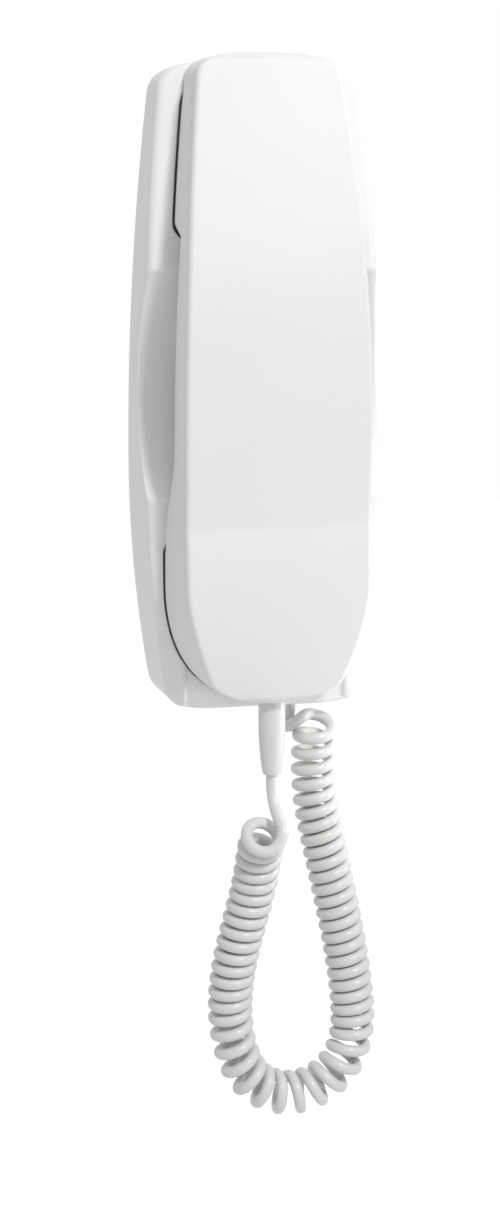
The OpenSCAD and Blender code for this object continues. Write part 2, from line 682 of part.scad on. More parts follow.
module handset_screws() {
    color(steel)
    for (z = lid_boss_z)
        difference() {
            union() {
                rod(0, z, grip_back_d - 0.5, grip_back_d + lid_head_in, lid_head_d);
                rod(0, z, grip_back_d + lid_head_in, grip_back_d + lid_head_in + lid_screw_len,
                    lid_screw_d - 0.1);
            }
            for (turn = [0, 90])
                translate([0, -grip_back_d + 0.5, z]) rotate([0, turn, 0]) cube([3, 1.2, 0.8], center = true);
        }
}

weight_from = grip_back_d + shell;
weight_w = 22;
weight_t = 6;
weight_gap = 2;

module balance_weight() {
    color(steel)
    slab(0, 0, weight_w, lid_boss_z[0] - lid_boss_z[1] - lid_boss_d - 2 * weight_gap,
        weight_from, weight_from + weight_t);
}

gasket_t = 1;
receiver_from = ear_back_d + shell + gasket_t;

module receiver_gasket() {
    color(black)
    difference() {
        rod(0, receiver_z, ear_back_d + shell, receiver_from, receiver_d);
        rod(0, receiver_z, ear_back_d + shell - 1, receiver_from + 1, receiver_d - 8);
    }
}

module receiver_capsule() {
    color(soft_white)
    union() {
        rod(0, receiver_z, receiver_from, receiver_from + 3, receiver_d);
        rod(0, receiver_z, receiver_from + 2, receiver_from + receiver_h, receiver_d * 0.6);
    }
}

mic_h = 6.5;
boot_wall = 2;
boot_from = mouth_back_d + shell;

module microphone_capsule() {
    color(steel) rod(0, mic_z, boot_from + boot_wall, boot_from + boot_wall + mic_h, mic_d);
}

module microphone_boot() {
    color(black)
    difference() {
        rod(0, mic_z, boot_from, boot_from + boot_wall + mic_h, mic_d + 2 * boot_wall);
        rod(0, mic_z, boot_from + boot_wall, boot_from + boot_wall + mic_h + 1, mic_d);
        rod(0, mic_z, boot_from - 1, boot_from + boot_wall + 1, mic_d - 3);
    }
}

// Cord: the sleeve at the handset, the gland in the wall unit and the curly stretch between them
sleeve_behind_face = 13;
sleeve_at_d = handset_front_d - sleeve_behind_face;
sleeve_end_z = -handset_low - sleeve_len + 1;
sleeve_tip_d = wire_d + 2.2;
sleeve_taper = 11;
sleeve_flange_z = chin_z - chin_front + chin_fill + 0.2;

module cord_sleeve() {
    color(white)
    translate([0, -sleeve_at_d, 0]) rotate_extrude()
        polygon([
            [0, sleeve_end_z], [sleeve_tip_d / 2, sleeve_end_z], [sleeve_tip_d / 2 + 0.4, sleeve_end_z + 2],
            [sleeve_d / 2, sleeve_end_z + sleeve_taper], [sleeve_d / 2, sleeve_flange_z],
            [sleeve_d / 2 + 1.5, sleeve_flange_z], [sleeve_d / 2 + 1.5, sleeve_flange_z + 2],
            [0, sleeve_flange_z + 2]
        ]);
}

gland_end_z = -base_low - 0.5;
gland_flange_z = -base_low + base_end_fill + 0.2;

module cord_gland() {
    color(soft_white)
    translate([gland_x, -gland_d, 0]) rotate_extrude()
        polygon([
            [0, gland_end_z], [gland_neck / 2, gland_end_z], [gland_neck / 2, gland_flange_z],
            [gland_neck / 2 + 1.2, gland_flange_z], [gland_neck / 2 + 1.2, gland_flange_z + 2],
            [0, gland_flange_z + 2]
        ]);
}

// Points that draw the middle line of the curls, from the handset down and round to the wall unit,
// as [x, depth, height]
coil_route = [
    [-3.6, 62, -142.5], [-4, 43.5, -145.5], [-4.2, 35.5, -153.5], [-5, 31, -170], [-11.5, 28, -194],
    [-13.5, 24.5, -219], [-6.5, 23.5, -245], [15.5, 21.5, -251.5], [33.5, 21, -237], [32.5, 19.5, -211],
    [28, 18, -185.5], [22.5, 18, -160.5], [18, 16.5, -139], [18.8, 18.5, -115], [18.8, 29, -95]
];
// Straight ends and the bends that lead into the curls, measured from the sleeve's and the gland's ends
handset_lead = [[0, 0, 0], [0, 0, -4], [0.3, 2, -9.5], [1, 6.5, -14]];
base_lead = [[2.3, 8.4, -4.2], [0.1, 8.2, -6.3], [-0.5, 3.4, -6.3], [0, 0, -3.8], [0, 0, 0]];
// Distance between curls along the middle line: open where the first curl lifts, closed on the legs,
// fanned round the bend and drawn out under the weight at the wall unit
curl_pitch = [
    [0, 8.6], [6, 8], [13, 5.4], [24, 4.6], [72, 4.5], [84, 6.6], [145, 6.6], [158, 4.5], [228, 4.55],
    [244, 5.3], [254, 5.9], [264, 6.6]
];
rings_per_curl = 8;

coil_line = pulled([for (p = coil_route) [p[0], -p[1], p[2]]], 48);
coil_steps = [for (i = [1 : len(coil_line) - 1]) norm(coil_line[i] - coil_line[i - 1])];
coil_length = concat([0], running(coil_steps));
coil_turn_steps = [for (i = [1 : len(coil_line) - 1])
    360 * coil_steps[i - 1] / lookup((coil_length[i] + coil_length[i - 1]) / 2, curl_pitch)];
coil_raw_turn = concat([0], running(coil_turn_steps));
first_turn = 90;
last_turn = 10;
curls = round((coil_raw_turn[len(coil_raw_turn) - 1] + first_turn - last_turn) / 360);
coil_turns = 360 * curls + last_turn - first_turn;
turn_scale = coil_turns / coil_raw_turn[len(coil_raw_turn) - 1];
place_of_turn = [for (i = [0 : len(coil_line) - 1]) [coil_raw_turn[i] * turn_scale + first_turn, i]];

function coil_point(turn) =
    let (f = lookup(turn, place_of_turn), i = min(floor(f), len(coil_line) - 2), t = f - i,
        c = mix(coil_line[i], coil_line[i + 1], t),
        along = unit(mix(tangent(coil_line, i), tangent(coil_line, i + 1), t)),
        back = unit([0, 1, 0] - along[1] * along), side = cross(along, back))
    c + (coil_d - wire_d) / 2 * (cos(turn) * back + sin(turn) * side);

curl_rings = round(rings_per_curl * coil_turns / 360);
curl_points = [for (k = [0 : curl_rings]) coil_point(first_turn + coil_turns * k / curl_rings)];
lead_in = concat([for (p = handset_lead) [p[0], -sleeve_at_d - p[1], sleeve_end_z + p[2]]],
    [curl_points[0], curl_points[1]]);
lead_out = concat([curl_points[len(curl_points) - 2], curl_points[len(curl_points) - 1]],
    [for (p = base_lead) [gland_x + p[0], -gland_d - p[1], gland_end_z + p[2]]]);
cord_line = concat(
    [lead_in[0], lead_in[1]],
    [for (i = [1 : 3], k = [1 : (i == 3 ? 3 : 4)]) through_at(lead_in, i, k / 4)],
    curl_points,
    [for (i = [1 : len(lead_out) - 3], k = [1 : 3]) through_at(lead_out, i, k / 3)],
    [lead_out[len(lead_out) - 1]]);

module curly_cord() {
    echo(curls = curls, cord_length = running([for (i = [1 : len(cord_line) - 1])
        norm(cord_line[i] - cord_line[i - 1])])[len(cord_line) - 2]);
    echo(least_gap = self_gap(cord_line, 5) - wire_d);
    color(white) tube(cord_line, wire_d, 6, [1, 0, 0]);
}

wall_plate();
base_cover();
cover_screws();
main_board();
board_screws();
terminal_block();
terminal_screws();
call_sounder();
line_chip();
board_capacitors();
hook_switch();
hook_plunger();
hook_spring();
door_switch();
door_button();
door_switch_stem();
cord_gland();
curly_cord();
handset_front();
handset_back();
handset_screws();
balance_weight();
receiver_capsule();
receiver_gasket();
microphone_capsule();
microphone_boot();
cord_sleeve();
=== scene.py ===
"""Audio intercom handset.

A white wall unit, the handset that rests in it and the curly cord between them.
"""

import math

import bpy
import numpy as np
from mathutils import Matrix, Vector


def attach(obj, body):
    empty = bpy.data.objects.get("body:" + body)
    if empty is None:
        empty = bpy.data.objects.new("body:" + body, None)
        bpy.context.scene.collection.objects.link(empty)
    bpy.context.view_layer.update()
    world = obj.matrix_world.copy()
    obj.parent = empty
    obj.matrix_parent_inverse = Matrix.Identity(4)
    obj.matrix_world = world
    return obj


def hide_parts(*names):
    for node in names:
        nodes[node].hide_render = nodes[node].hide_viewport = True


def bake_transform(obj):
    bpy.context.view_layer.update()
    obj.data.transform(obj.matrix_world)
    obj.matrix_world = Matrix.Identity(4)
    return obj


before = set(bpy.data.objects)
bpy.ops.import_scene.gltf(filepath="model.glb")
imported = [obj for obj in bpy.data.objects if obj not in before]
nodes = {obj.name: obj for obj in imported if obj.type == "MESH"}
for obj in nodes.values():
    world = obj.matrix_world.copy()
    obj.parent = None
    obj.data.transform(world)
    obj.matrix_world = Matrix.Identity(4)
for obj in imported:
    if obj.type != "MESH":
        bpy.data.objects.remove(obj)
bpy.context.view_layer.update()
scene = bpy.context.scene
MM = 0.001


# Camera: in front of the unit, to its left and a little above its middle

FOCAL_PX, IMAGE_H, SENSOR_H = 2065.0, 1220.0, 36.0
CAMERA_AT, CAMERA_AIM = (-145.5, -684.7, 53.0), (-4.2, -20.0, -76.0)

camera_data = bpy.data.cameras.new("camera")
camera_data.sensor_fit = "VERTICAL"
camera_data.sensor_height = SENSOR_H
camera_data.lens = SENSOR_H * FOCAL_PX / IMAGE_H
camera_data.clip_start = 0.01
camera_data.clip_end = 50.0
camera = bpy.data.objects.new("camera", camera_data)
scene.collection.objects.link(camera)
camera.location = Vector(CAMERA_AT) * MM
aim = Vector(CAMERA_AIM) * MM
camera.rotation_euler = (aim - camera.location).to_track_quat("-Z", "Y").to_euler()
scene.camera = camera


# Helpers for meshes

SHELL_SMOOTH_DEG, CORD_SMOOTH_DEG = 32.0, 60.0


def add_object(name, points, faces, material, smooth_deg=40.0):
    """A mesh piece in the shared frame, from points in millimetres."""
    mesh = bpy.data.meshes.new(name)
    mesh.from_pydata((np.asarray(points, float) * MM).tolist(), [], faces)
    mesh.validate()
    mesh.update()
    piece = bpy.data.objects.new(name, mesh)
    scene.collection.objects.link(piece)
    finish_mesh(piece, smooth_deg)
    piece.data.materials.append(material)
    return piece


def finish_mesh(piece, smooth_deg):
    """Shades a piece smooth, apart from its edges above the angle."""
    piece.data.shade_smooth()
    piece.data.set_sharp_from_angle(angle=math.radians(smooth_deg))


def full_turn(sides):
    """Angles of a full turn in equal steps."""
    return [2 * math.pi * k / sides for k in range(sides)]


def loft_faces(rows, ring):
    """Quads between rings of points, and a face over each end."""
    faces = []
    for i in range(rows - 1):
        for j in range(ring):
            a, b = i * ring + j, i * ring + (j + 1) % ring
            faces.append((a, b, b + ring, a + ring))
    faces.append(tuple(range(ring - 1, -1, -1)))
    faces.append(tuple((rows - 1) * ring + j for j in range(ring)))
    return faces


def add_shell(name, rings, material):
    """A plastic shell lofted through its sections."""
    points = [p for ring in rings for p in ring]
    faces = loft_faces(len(rings), len(rings[0]))
    return add_object(name, points, faces, material)


def rounded(corners):
    """Rounds a line of corners (x, y, radius, steps), each to its own number of points."""
    # This middle weight makes a right-angled corner a true arc
    w = math.sqrt(0.5)
    line = []
    for i, (x, y, radius, steps) in enumerate(corners):
        p = np.array((x, y), float)
        if steps < 2 or i in (0, len(corners) - 1):
            line.append(p)
            continue
        a = np.array(corners[i - 1][:2], float) - p
        b = np.array(corners[i + 1][:2], float) - p
        la, lb = max(np.hypot(*a), 1e-9), max(np.hypot(*b), 1e-9)
        t = min(radius, 0.48 * la, 0.48 * lb)
        start, end = p + a / la * t, p + b / lb * t
        for k in range(steps):
            u = k / (steps - 1)
            parts = ((1 - u) ** 2, 2 * w * u * (1 - u), u * u)
            line.append((start * parts[0] + p * parts[1] + end * parts[2]) / sum(parts))
    return line


def ring_of(outside, inside, z):
    """Closed section at height z, from half of its outside and of its inside as (x, depth)."""
    if outside[-1][1] < outside[0][1]:
        # A section that runs towards the wall is mirrored, so that its faces look outwards too
        outside, inside = [(-x, d) for x, d in outside], [(-x, d) for x, d in inside]
    both = [(-x, d) for x, d in outside] + [(x, d) for x, d in reversed(outside)]
    back = [(-x, d) for x, d in inside] + [(x, d) for x, d in reversed(inside)]
    return [(x, -d, z) for x, d in both + back[::-1]]


def heights(*groups, least=0.06):
    """All the given heights in order, without those that nearly coincide."""
    found = []
    for z in sorted(set(round(float(z), 4) for g in groups for z in np.ravel(g))):
        if not found or z - found[-1] > least:
            found.append(z)
    return found


def tip_heights(tip_z, length, direction, count=18, power=2.4):
    """Heights that crowd together towards a rounded end."""
    t = 0.9985 * (1 - np.linspace(0, 1, count) ** power)
    return tip_z - direction * length * (1 - t)


def cut(piece, cutters):
    """Takes the cutters' solids out of a piece, and removes them."""
    points, faces = [], []
    for cutter_points, cutter_faces in cutters:
        n = len(points)
        points += [tuple(p) for p in cutter_points]
        faces += [tuple(n + i for i in f) for f in cutter_faces]
    mesh = bpy.data.meshes.new("cutter")
    mesh.from_pydata((np.array(points) * MM).tolist(), [], faces)
    mesh.update()
    cutter = bpy.data.objects.new("cutter", mesh)
    scene.collection.objects.link(cutter)
    modifier = piece.modifiers.new("cut", "BOOLEAN")
    modifier.operation = "DIFFERENCE"
    modifier.solver = "MANIFOLD"
    modifier.object = cutter
    bpy.context.view_layer.update()
    shown = piece.evaluated_get(bpy.context.evaluated_depsgraph_get())
    result = bpy.data.meshes.new_from_object(shown)
    piece.modifiers.clear()
    old = piece.data
    piece.data = result
    bpy.data.meshes.remove(old)
    bpy.data.objects.remove(cutter)
    bpy.data.meshes.remove(mesh)


def hole(x, z, profile, sides=40):
    """A round cutter square to the wall, from (depth, radius) pairs."""
    points = [
        (x + radius * math.cos(a), -depth, z + radius * math.sin(a))
        for depth, radius in profile
        for a in full_turn(sides)
    ]
    return points, loft_faces(len(profile), sides)


def upright_hole(x, depth, z0, z1, radius, sides=40):
    """A round cutter from height z0 to height z1."""
    points = [
        (x + radius * math.cos(a), -depth + radius * math.sin(a), z)
        for z in (z0, z1)
        for a in full_turn(sides)
    ]
    return points, loft_faces(2, sides)


def slot_cutter(x, z, width, height, from_d, to_d, sides=10):
    """A cutter for an upright slot with round ends."""
    r, straight = width / 2, (height - width) / 2
    outline = []
    for end, first in ((1, 0), (-1, math.pi)):
        for k in range(sides + 1):
            a = math.pi * k / sides + first
            outline.append((x + r * math.cos(a), z + end * straight + r * math.sin(a)))
    points = [(px, -d, pz) for d in (from_d, to_d) for px, pz in outline]
    return points, loft_faces(2, len(outline))


def lathe(name, profile, x, y, material, sides=48):
    """An upright turned piece from (radius, height) pairs."""
    points = [
        (x + r * math.cos(a), y + r * math.sin(a), h) for r, h in profile for a in full_turn(sides)
    ]
    return add_object(name, points, loft_faces(len(profile), sides), material)


# Materials: the scales of textures are per metre, and bumps are in metres

CLOUD_SCALE, HANDLED_SCALE, WAVE_SCALE, WAVE_H = 38.0, 60.0, 22.0, 0.00002
MARK_SCALE, STAIN_SCALE, MARK_H = 900.0, 300.0, 0.00001
TRACE_SCALE, TRACE_H = 130.0, 0.00003


def new_material(name, color, roughness):
    """A material with its node tree and its shader."""
    material = bpy.data.materials.new(name)
    material.use_nodes = True
    tree = material.node_tree
    shader = tree.nodes["Principled BSDF"]
    shader.inputs["Base Color"].default_value = (*color, 1)
    shader.inputs["Roughness"].default_value = roughness
    return material, tree, shader


def noise(tree, scale, detail=3.0, rough=0.55, stretch=None):
    """A noise texture in the piece's own metres."""
    place = tree.nodes.new("ShaderNodeTexCoord")
    texture = tree.nodes.new("ShaderNodeTexNoise")
    texture.inputs["Scale"].default_value = scale
    texture.inputs["Detail"].default_value = detail
    texture.inputs["Roughness"].default_value = rough
    if stretch:
        mapping = tree.nodes.new("ShaderNodeMapping")
        mapping.inputs["Scale"].default_value = stretch
        tree.links.new(place.outputs["Object"], mapping.inputs["Vector"])
        tree.links.new(mapping.outputs["Vector"], texture.inputs["Vector"])
    else:
        tree.links.new(place.outputs["Object"], texture.inputs["Vector"])
    return texture.outputs["Fac"]


def spread(tree, source, low, high, first=0.3, last=0.7):
    """Maps the middle of a texture to a range of values."""
    node = tree.nodes.new("ShaderNodeMapRange")
    node.inputs["From Min"].default_value = first
    node.inputs["From Max"].default_value = last
    node.inputs["To Min"].default_value = low
    node.inputs["To Max"].default_value = high
    tree.links.new(source, node.inputs["Value"])
    return node.outputs["Result"]


def two_tones(tree, source, low, high):
    """Mixes two colours by a texture."""
    node = tree.nodes.new("ShaderNodeMix")
    node.data_type = "RGBA"
    node.inputs["A"].default_value = (*low, 1)
    node.inputs["B"].default_value = (*high, 1)
    tree.links.new(source, node.inputs["Factor"])
    return node.outputs["Result"]


def bump(tree, shader, layers):
    """Stacks bumps of (texture, height)."""
    normal = None
    for source, height in layers:
        node = tree.nodes.new("ShaderNodeBump")
        node.inputs["Strength"].default_value = 1.0
        node.inputs["Distance"].default_value = height
        tree.links.new(source, node.inputs["Height"])
        if normal:
            tree.links.new(normal, node.inputs["Normal"])
        normal = node.outputs["Normal"]
    tree.links.new(normal, shader.inputs["Normal"])


def moulded_plastic(name, color, tint, roughness, grain=1900.0, grain_h=0.0000015):
    """Plastic with faint clouds of tone, a fine spark-eroded grain and a moulded wall's waves."""
    material, tree, shader = new_material(name, color, roughness)
    clouds = spread(tree, noise(tree, CLOUD_SCALE, 2.0), 0.0, 1.0, 0.2, 0.8)
    tree.links.new(two_tones(tree, clouds, color, tint), shader.inputs["Base Color"])
    handled = noise(tree, HANDLED_SCALE, 2.0, 0.5)
    handled = spread(tree, handled, roughness - 0.02, roughness + 0.03, 0.2, 0.8)
    tree.links.new(handled, shader.inputs["Roughness"])
    fine = noise(tree, grain, 2.0, 0.5)
    waves = noise(tree, WAVE_SCALE, 1.0, 0.4)
    bump(tree, shader, [(waves, WAVE_H), (fine, grain_h)])
    return material


def turned_metal(name, color, roughness, stretch):
    """Plated metal with fine tool marks and stains."""
    material, tree, shader = new_material(name, color, roughness)
    shader.inputs["Metallic"].default_value = 1.0
    marks = noise(tree, MARK_SCALE, 3.0, 0.6, stretch)
    worn = spread(tree, marks, roughness - 0.08, roughness + 0.12)
    tree.links.new(worn, shader.inputs["Roughness"])
    stains = spread(tree, noise(tree, STAIN_SCALE, 4.0), 0.0, 1.0)
    darker = tuple(0.8 * c for c in color)
    tree.links.new(two_tones(tree, stains, color, darker), shader.inputs["Base Color"])
    bump(tree, shader, [(marks, MARK_H)])
    return material


def board_material():
    """Green solder resist with paler traces under it."""
    material, tree, shader = new_material("circuit_board", (0.03, 0.16, 0.07), 0.3)
    place = tree.nodes.new("ShaderNodeTexCoord")
    bricks = tree.nodes.new("ShaderNodeTexBrick")
    bricks.inputs["Scale"].default_value = TRACE_SCALE
    bricks.inputs["Color1"].default_value = (0.02, 0.14, 0.06, 1)
    bricks.inputs["Color2"].default_value = (0.025, 0.16, 0.07, 1)
    bricks.inputs["Mortar"].default_value = (0.05, 0.24, 0.11, 1)
    bricks.inputs["Mortar Size"].default_value = 0.035
    mapping = tree.nodes.new("ShaderNodeMapping")
    mapping.inputs["Rotation"].default_value = (math.pi / 2, 0, 0)
    tree.links.new(place.outputs["Object"], mapping.inputs["Vector"])
    tree.links.new(mapping.outputs["Vector"], bricks.inputs["Vector"])
    tree.links.new(bricks.outputs["Color"], shader.inputs["Base Color"])
    tree.links.new(spread(tree, noise(tree, 260.0), 0.22, 0.4), shader.inputs["Roughness"])
    bump(tree, shader, [(bricks.outputs["Fac"], TRACE_H)])
    return material


shell_white = moulded_plastic("shell_white", (0.805, 0.805, 0.80), (0.82, 0.82, 0.815), 0.5)
base_white = moulded_plastic("base_white", (0.835, 0.835, 0.83), (0.85, 0.85, 0.845), 0.46)
plate_white = moulded_plastic(
    "plate_white", (0.72, 0.72, 0.70), (0.76, 0.76, 0.74), 0.45, 1400.0, 0.00001
)
button_grey = moulded_plastic("button_grey", (0.62, 0.63, 0.63), (0.66, 0.67, 0.67), 0.38)
cord_white = moulded_plastic(
    "cord_white", (0.68, 0.675, 0.665), (0.70, 0.695, 0.685), 0.3, 1500.0, 0.000008
)
black_plastic = moulded_plastic(
    "black_plastic", (0.022, 0.022, 0.024), (0.032, 0.032, 0.034), 0.42
)
black_rubber = moulded_plastic(
    "black_rubber", (0.018, 0.018, 0.018), (0.028, 0.027, 0.026), 0.7, 900.0, 0.00002
)
screw_steel = turned_metal("screw_steel", (0.62, 0.62, 0.63), 0.3, (1, 8, 1))
weight_steel = turned_metal("weight_steel", (0.42, 0.42, 0.43), 0.42, (6, 1, 1))
solder_green = board_material()


# Sizes in millimetres, as in the part's source. Depths (D) count from the wall, heights from
# the handset's middle.

# Handset: its outline, its front cover (lid) and its chin
HANDSET_W, HANDSET_TOP, HANDSET_LOW, FRONT_D, GRIP_D = 61.0, 104.4, 105.5, 48.0, 27.0
SHELL, LID_H, BULGE, LID_R = 2.0, 4.0, 2.4, 3.2
GRIP_WIDE, TOP_ZONE, TOP_POWER = -22.0, 8.4, 3.2
CHIN_BACK, CHIN_CORNER, CHIN_TAPER, CHIN_POWER = 41.5, 8.0, 0.0325, 1.6
CHIN_FRONT, CHIN_Z = CHIN_BACK - 2.1, CHIN_BACK - HANDSET_LOW
LID_LOW = CHIN_Z - CHIN_FRONT

# Raised ear and mouth parts on its back, and the pockets that take them
EAR_TOP = HANDSET_TOP - 8.8
EAR_LOW = EAR_TOP - 48.8
MOUTH_LOW = -(HANDSET_LOW - 3.2)
MOUTH_TOP = MOUTH_LOW + 50.3
EAR_FLOOR, MOUTH_FLOOR, GAP, SEAM = 9.6, 17.5, 0.9, 0.3
EAR_BACK, MOUTH_BACK = EAR_FLOOR + GAP, MOUTH_FLOOR + GAP
CREASE = MOUTH_TOP + 7.5

# Wall unit: its outline, its face and the finger recess (scoop) across it
MARGIN, WALL, BLOCK_D, LOWER_D, SCOOP_D = 11.2, 2.2, 22.2, 26.8, 13.0
BASE_TOP, BASE_LOW, BASE_W = HANDSET_TOP - 1.9, HANDSET_LOW + 3.3, HANDSET_W + 2 * MARGIN
WIDEST, SIDE_R_TOP, SIDE_R_LOW = -28.0, 1015.0, 439.0
TOP_CORNER, LOW_CORNER, DRAFT, EDGE_R = 10.0, 9.5, 0.066, 2.6
BLOCK_RAKE, LOWER_RAKE = 0.12, 0.02
STEP, SCOOP_LOW, SCOOP_EDGE_R = EAR_LOW - 10.3, MOUTH_TOP + 15, 0.5

# The two shells of the handset and the cover are solid over these heights at their ends
LID_CAP, COVER_CAP = SHELL + 0.6, WALL + 0.6

# Cord, its sleeve on the handset and its gland in the wall unit
WIRE_D, COIL_D, JACKET_D = 3.7, 15.4, 4.0
SLEEVE_D, SLEEVE_AT, SLEEVE_END = 9.0, FRONT_D - 13, -HANDSET_LOW - 24.5 + 1
GLAND_X, GLAND_AT, GLAND_END = 12.0, 10.5, -BASE_LOW - 0.5


def recess_arc():
    """Height of the recess's deepest point, and radius of the arc that meets both its edges."""
    up, down, span = BLOCK_D - SCOOP_D, LOWER_D - SCOOP_D, STEP - SCOOP_LOW
    a, b = down - up, 2 * up * span
    c = up * (span * span + down * down - down * up)
    above = 2 * c / (b + math.sqrt(b * b + 4 * a * c))
    return STEP - above, (above * above + up * up) / (2 * up)


SCOOP_Z, SCOOP_R = recess_arc()
HOOK_Z = (SCOOP_LOW + MOUTH_TOP) / 2 + 0.5
BUTTON_Z = SCOOP_Z - 24.7


def mix(a, b, t):
    return a + (b - a) * t


def limit(t):
    return min(max(t, 0.0), 1.0)


def ease(t):
    t = limit(t)
    return t * t * (3 - 2 * t)


def arc_drop(t, r):
    """How far an arc of radius r has dropped at t from its highest point."""
    return r - math.sqrt(max(r * r - t * t, 0.0))


def edge_drop(t, r):
    """Drop of a rounded edge that starts at t = 0."""
    return 0.0 if t <= 0 else arc_drop(min(t, r), r)


def full_end(t, start, end):
    """Share of the width that is left at t, from 0 where an end starts to 1 at its tip."""
    return (1 - limit(t) ** start) ** (1 / end)


def rounded_end(t, n):
    return full_end(t, n, n)


# Wall unit's cover

CORNER_START, TOP_FULLNESS, LOW_FULLNESS = 2.6, 5.5, 7
LIP_R, NOTCH_EDGE_R, SHARP_RIM_R = 0.7, 2.2, 0.5
LIP_STEPS = (-0.7, -0.55, -0.4, -0.25, -0.12, -0.02, 0.05, 0.4, 0.9, 1.6, 2.5, 3.6)


def base_outline(z, inset):
    """Half of the wall unit's width at its back."""
    half = BASE_W / 2 - arc_drop(z - WIDEST, SIDE_R_TOP if z > WIDEST else SIDE_R_LOW)
    top = (z - BASE_TOP + TOP_CORNER) / (TOP_CORNER - inset)
    low = (-z - BASE_LOW + LOW_CORNER) / (LOW_CORNER - inset)
    return (
        (half - inset)
        * full_end(top, CORNER_START, TOP_FULLNESS)
        * full_end(low, CORNER_START, LOW_FULLNESS)
    )


def face_depth(z):
    """Depth of the wall unit's face: upper block, finger recess and lower face."""
    if z > STEP:
        return BLOCK_D - (z - STEP) * BLOCK_RAKE
    if z > SCOOP_LOW:
        return SCOOP_D + arc_drop(z - SCOOP_Z, SCOOP_R)
    return LOWER_D - (SCOOP_LOW - z) * LOWER_RAKE


def base_face(z):
    """The face with a small radius on the recess's two edges, and with rounded ends."""
    face, r = face_depth(z), SCOOP_EDGE_R
    if min(abs(z - STEP), abs(z - SCOOP_LOW)) < r:
        face = min(face, mix(face_depth(z - r), face_depth(z + r), 0.5))
    top = edge_drop(z - BASE_TOP + EDGE_R, EDGE_R)
    low = edge_drop(-z - BASE_LOW + EDGE_R, EDGE_R)
    return face - 0.9 * (top + low)


def base_inside(z):
    """Depth of the cover's inside."""
    if z >= EAR_LOW - GAP - WALL:
        return EAR_FLOOR - WALL
    if z <= MOUTH_TOP + GAP + WALL:
        return MOUTH_FLOOR - WALL
    return face_depth(z) - 1.15 * WALL


def flare(z):
    """How far the handset's lower side edge stands out past its seam."""
    ear = ease((z - EAR_LOW) / 6)
    grip = ease((GRIP_WIDE + 4 - z) / (GRIP_WIDE + 4 - MOUTH_TOP))
    return 0.8 + 0.6 * ear + 2.9 * grip


def handset_half(z):
    return HANDSET_W / 2 - arc_drop(max(z - GRIP_WIDE, 0), SIDE_R_TOP)


def top_end(z, inset):
    return rounded_end((z - HANDSET_TOP + TOP_ZONE) / (TOP_ZONE - inset), TOP_POWER)


def rim_outline(z, q, inset):
    """Outline of the seam between the two covers: its chin has a corner on each side."""
    span = CHIN_CORNER + 1.3 * q * (CHIN_BACK - CHIN_FRONT) - inset
    half = handset_half(z) - CHIN_TAPER * max(CHIN_Z - z, 0) ** CHIN_POWER - inset
    return half * top_end(z, inset) * rounded_end((LID_LOW + CHIN_CORNER - z) / span, 2)


def knee_outline(z, inset):
    """Outline of the back cover's lower side edge: its chin is one long round."""
    half = handset_half(z) + flare(z) - inset
    return half * top_end(z, inset) * rounded_end((CHIN_Z - z) / (CHIN_BACK - inset), 2.3)


def raised_half(z, grow):
    """Half of the width of the ear or mouth part, or of its pocket where it is grown."""
    if z > 0:
        low, high, low_r, high_r = EAR_LOW, EAR_TOP, 5, 8
    else:
        low, high, low_r, high_r = MOUTH_LOW, MOUTH_TOP, 3, 4
    return (
        0.985 * knee_outline(z, 0)
        + grow
        - high_r * (1 - rounded_end((z - high - grow + high_r) / high_r, 2))
        - low_r * (1 - rounded_end((low - grow + low_r - z) / low_r, 2))
    )


def in_ear(z, grow):
    return EAR_LOW - grow <= z <= EAR_TOP + grow


def in_mouth(z, grow):
    return MOUTH_LOW - grow <= z <= MOUTH_TOP + grow


# The hollow (notch) below the handset's chin
NOTCH_TOP, NOTCH_D = MOUTH_LOW + 9.3, LOWER_D - 4
NOTCH_HALF = raised_half(NOTCH_TOP, GAP) + 0.2


def notch_depth(z):
    """The hollow runs out at the bottom over a round edge."""
    return NOTCH_D - 0.8 * edge_drop(-z - BASE_LOW + NOTCH_EDGE_R, NOTCH_EDGE_R)


def rim_radius(z):
    """The rim is well rounded, and nearly sharp where the recess cuts it."""
    return mix(EDGE_R, SHARP_RIM_R, ease((STEP - z) / 22) * ease((z - SCOOP_LOW + 3) / 6))


